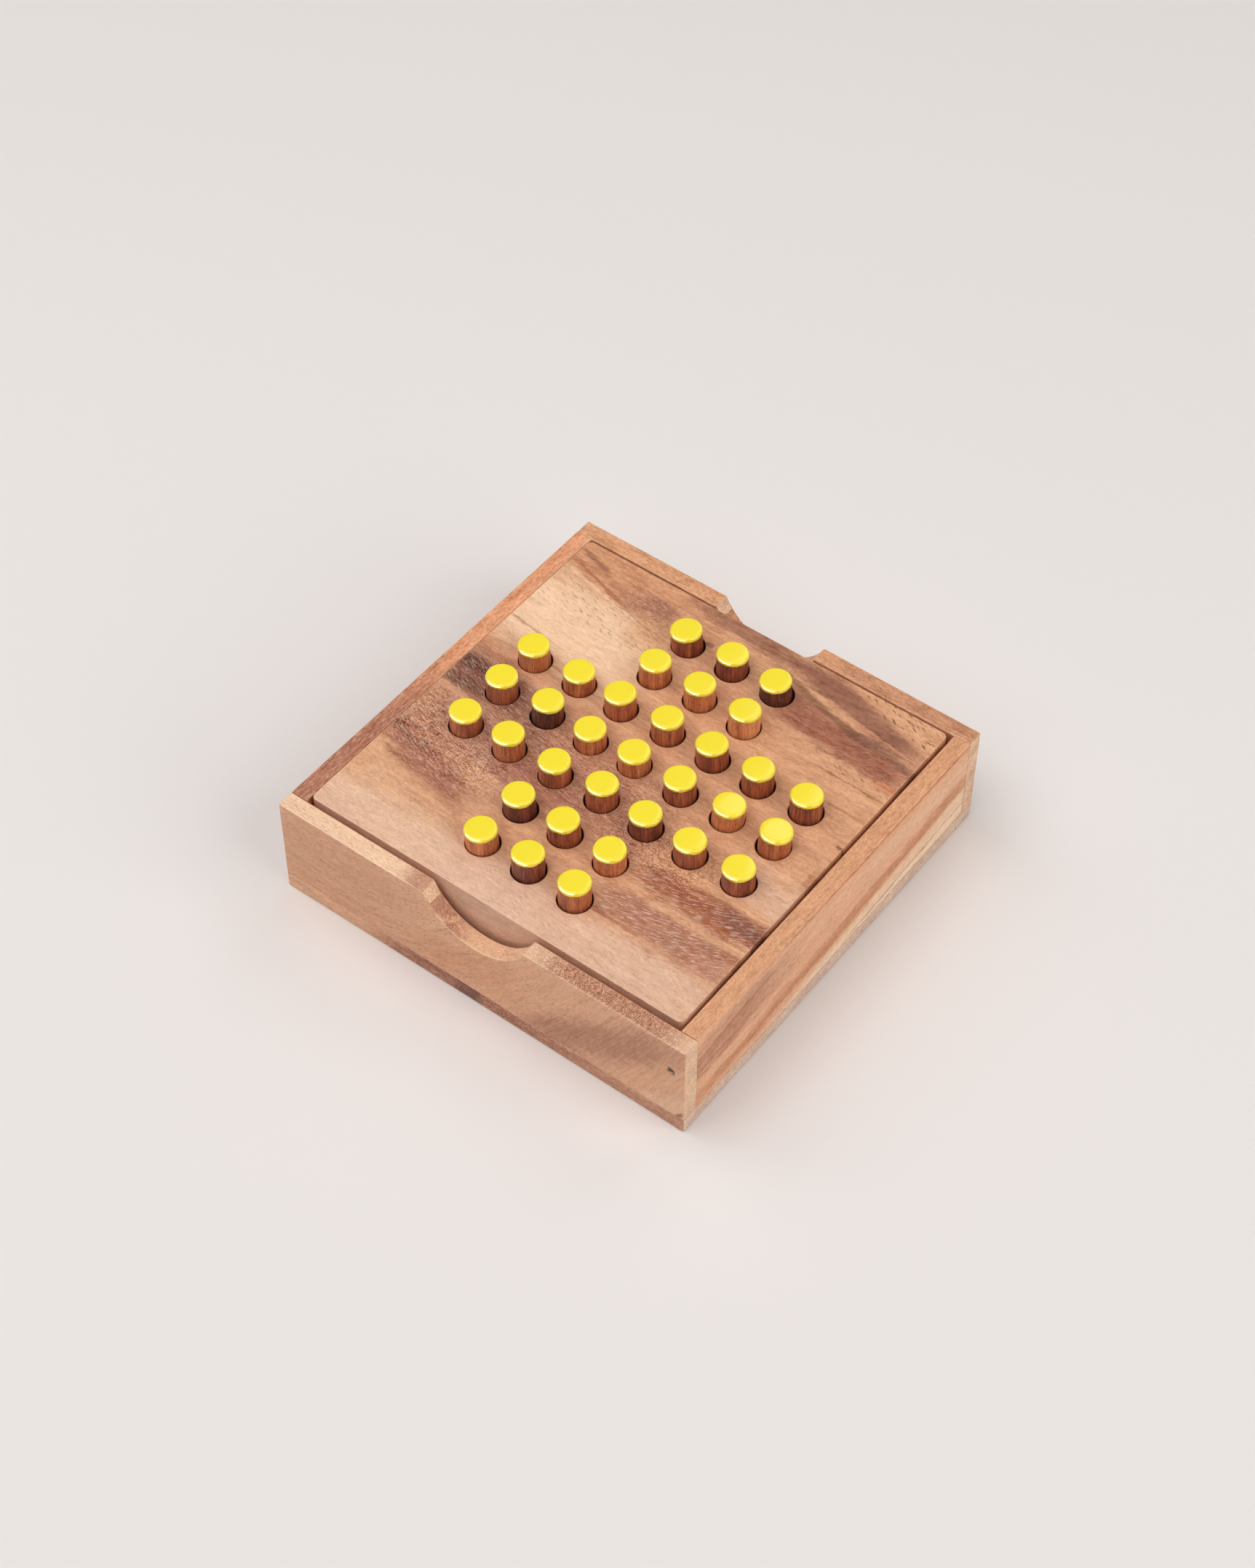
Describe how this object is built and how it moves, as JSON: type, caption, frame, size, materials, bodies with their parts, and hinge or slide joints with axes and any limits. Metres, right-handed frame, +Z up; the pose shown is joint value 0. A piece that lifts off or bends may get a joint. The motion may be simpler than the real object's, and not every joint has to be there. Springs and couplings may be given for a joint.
{
  "type": "peg solitaire board",
  "caption": "Square wooden peg solitaire game: a lift-out board with enamel-headed pegs in a cross of blind holes, lying on ledges in a case with scooped finger notches.",
  "frame": {"origin": "middle of the underside of the base panel", "axes": "+Z up, front wall with its finger notch towards -Y, +X to the right along the front wall"},
  "size_m": [0.125, 0.125, 0.039],
  "materials": {
    "case_wood": "satin",
    "board_wood": "satin",
    "ledge_wood": "matte",
    "peg_wood": "satin",
    "peg_enamel": "gloss",
    "brad_steel": "dull"
  },
  "bodies": {
    "case": {"base_panel": "case_wood", "front_wall": "case_wood", "back_wall": "case_wood", "left_wall": "case_wood", "right_wall": "case_wood", "left_ledge": "ledge_wood", "right_ledge": "ledge_wood", "corner_brad": "brad_steel"},
    "board": {"playing_board": "board_wood"},
    "peg_row1_col3": {"peg_row1_col3": "peg_wood"},
    "peg_row1_col4": {"peg_row1_col4": "peg_wood"},
    "peg_row1_col5": {"peg_row1_col5": "peg_wood"},
    "peg_row2_col3": {"peg_row2_col3": "peg_wood"},
    "peg_row2_col4": {"peg_row2_col4": "peg_wood"},
    "peg_row2_col5": {"peg_row2_col5": "peg_wood"},
    "peg_row3_col1": {"peg_row3_col1": "peg_wood"},
    "peg_row3_col2": {"peg_row3_col2": "peg_wood"},
    "peg_row3_col3": {"peg_row3_col3": "peg_wood"},
    "peg_row3_col4": {"peg_row3_col4": "peg_wood"},
    "peg_row3_col5": {"peg_row3_col5": "peg_wood"},
    "peg_row3_col6": {"peg_row3_col6": "peg_wood"},
    "peg_row3_col7": {"peg_row3_col7": "peg_wood"},
    "peg_row4_col1": {"peg_row4_col1": "peg_wood"},
    "peg_row4_col2": {"peg_row4_col2": "peg_wood"},
    "peg_row4_col3": {"peg_row4_col3": "peg_wood"},
    "peg_row4_col4": {"peg_row4_col4": "peg_wood"},
    "peg_row4_col5": {"peg_row4_col5": "peg_wood"},
    "peg_row4_col6": {"peg_row4_col6": "peg_wood"},
    "peg_row4_col7": {"peg_row4_col7": "peg_wood"},
    "peg_row5_col1": {"peg_row5_col1": "peg_wood"},
    "peg_row5_col2": {"peg_row5_col2": "peg_wood"},
    "peg_row5_col3": {"peg_row5_col3": "peg_wood"},
    "peg_row5_col4": {"peg_row5_col4": "peg_wood"},
    "peg_row5_col5": {"peg_row5_col5": "peg_wood"},
    "peg_row5_col6": {"peg_row5_col6": "peg_wood"},
    "peg_row5_col7": {"peg_row5_col7": "peg_wood"},
    "peg_row6_col3": {"peg_row6_col3": "peg_wood"},
    "peg_row6_col4": {"peg_row6_col4": "peg_wood"},
    "peg_row6_col5": {"peg_row6_col5": "peg_wood"},
    "peg_row7_col3": {"peg_row7_col3": "peg_wood"},
    "peg_row7_col4": {"peg_row7_col4": "peg_wood"},
    "peg_row7_col5": {"peg_row7_col5": "peg_wood"}
  },
  "joints": [
    {"name": "board_lift", "type": "slide", "parent": "case", "child": "board", "axis": [0, 0, 1], "range_m": [0, 0.045]},
    {"name": "peg_row1_col3_lift", "type": "slide", "parent": "board", "child": "peg_row1_col3", "axis": [0, 0, 1], "range_m": [0, 0.025]},
    {"name": "peg_row1_col4_lift", "type": "slide", "parent": "board", "child": "peg_row1_col4", "axis": [0, 0, 1], "range_m": [0, 0.025]},
    {"name": "peg_row1_col5_lift", "type": "slide", "parent": "board", "child": "peg_row1_col5", "axis": [0, 0, 1], "range_m": [0, 0.025]},
    {"name": "peg_row2_col3_lift", "type": "slide", "parent": "board", "child": "peg_row2_col3", "axis": [0, 0, 1], "range_m": [0, 0.025]},
    {"name": "peg_row2_col4_lift", "type": "slide", "parent": "board", "child": "peg_row2_col4", "axis": [0, 0, 1], "range_m": [0, 0.025]},
    {"name": "peg_row2_col5_lift", "type": "slide", "parent": "board", "child": "peg_row2_col5", "axis": [0, 0, 1], "range_m": [0, 0.025]},
    {"name": "peg_row3_col1_lift", "type": "slide", "parent": "board", "child": "peg_row3_col1", "axis": [0, 0, 1], "range_m": [0, 0.025]},
    {"name": "peg_row3_col2_lift", "type": "slide", "parent": "board", "child": "peg_row3_col2", "axis": [0, 0, 1], "range_m": [0, 0.025]},
    {"name": "peg_row3_col3_lift", "type": "slide", "parent": "board", "child": "peg_row3_col3", "axis": [0, 0, 1], "range_m": [0, 0.025]},
    {"name": "peg_row3_col4_lift", "type": "slide", "parent": "board", "child": "peg_row3_col4", "axis": [0, 0, 1], "range_m": [0, 0.025]},
    {"name": "peg_row3_col5_lift", "type": "slide", "parent": "board", "child": "peg_row3_col5", "axis": [0, 0, 1], "range_m": [0, 0.025]},
    {"name": "peg_row3_col6_lift", "type": "slide", "parent": "board", "child": "peg_row3_col6", "axis": [0, 0, 1], "range_m": [0, 0.025]},
    {"name": "peg_row3_col7_lift", "type": "slide", "parent": "board", "child": "peg_row3_col7", "axis": [0, 0, 1], "range_m": [0, 0.025]},
    {"name": "peg_row4_col1_lift", "type": "slide", "parent": "board", "child": "peg_row4_col1", "axis": [0, 0, 1], "range_m": [0, 0.025]},
    {"name": "peg_row4_col2_lift", "type": "slide", "parent": "board", "child": "peg_row4_col2", "axis": [0, 0, 1], "range_m": [0, 0.025]},
    {"name": "peg_row4_col3_lift", "type": "slide", "parent": "board", "child": "peg_row4_col3", "axis": [0, 0, 1], "range_m": [0, 0.025]},
    {"name": "peg_row4_col4_lift", "type": "slide", "parent": "board", "child": "peg_row4_col4", "axis": [0, 0, 1], "range_m": [0, 0.025]},
    {"name": "peg_row4_col5_lift", "type": "slide", "parent": "board", "child": "peg_row4_col5", "axis": [0, 0, 1], "range_m": [0, 0.025]},
    {"name": "peg_row4_col6_lift", "type": "slide", "parent": "board", "child": "peg_row4_col6", "axis": [0, 0, 1], "range_m": [0, 0.025]},
    {"name": "peg_row4_col7_lift", "type": "slide", "parent": "board", "child": "peg_row4_col7", "axis": [0, 0, 1], "range_m": [0, 0.025]},
    {"name": "peg_row5_col1_lift", "type": "slide", "parent": "board", "child": "peg_row5_col1", "axis": [0, 0, 1], "range_m": [0, 0.025]},
    {"name": "peg_row5_col2_lift", "type": "slide", "parent": "board", "child": "peg_row5_col2", "axis": [0, 0, 1], "range_m": [0, 0.025]},
    {"name": "peg_row5_col3_lift", "type": "slide", "parent": "board", "child": "peg_row5_col3", "axis": [0, 0, 1], "range_m": [0, 0.025]},
    {"name": "peg_row5_col4_lift", "type": "slide", "parent": "board", "child": "peg_row5_col4", "axis": [0, 0, 1], "range_m": [0, 0.025]},
    {"name": "peg_row5_col5_lift", "type": "slide", "parent": "board", "child": "peg_row5_col5", "axis": [0, 0, 1], "range_m": [0, 0.025]},
    {"name": "peg_row5_col6_lift", "type": "slide", "parent": "board", "child": "peg_row5_col6", "axis": [0, 0, 1], "range_m": [0, 0.025]},
    {"name": "peg_row5_col7_lift", "type": "slide", "parent": "board", "child": "peg_row5_col7", "axis": [0, 0, 1], "range_m": [0, 0.025]},
    {"name": "peg_row6_col3_lift", "type": "slide", "parent": "board", "child": "peg_row6_col3", "axis": [0, 0, 1], "range_m": [0, 0.025]},
    {"name": "peg_row6_col4_lift", "type": "slide", "parent": "board", "child": "peg_row6_col4", "axis": [0, 0, 1], "range_m": [0, 0.025]},
    {"name": "peg_row6_col5_lift", "type": "slide", "parent": "board", "child": "peg_row6_col5", "axis": [0, 0, 1], "range_m": [0, 0.025]},
    {"name": "peg_row7_col3_lift", "type": "slide", "parent": "board", "child": "peg_row7_col3", "axis": [0, 0, 1], "range_m": [0, 0.025]},
    {"name": "peg_row7_col4_lift", "type": "slide", "parent": "board", "child": "peg_row7_col4", "axis": [0, 0, 1], "range_m": [0, 0.025]},
    {"name": "peg_row7_col5_lift", "type": "slide", "parent": "board", "child": "peg_row7_col5", "axis": [0, 0, 1], "range_m": [0, 0.025]}
  ]
}
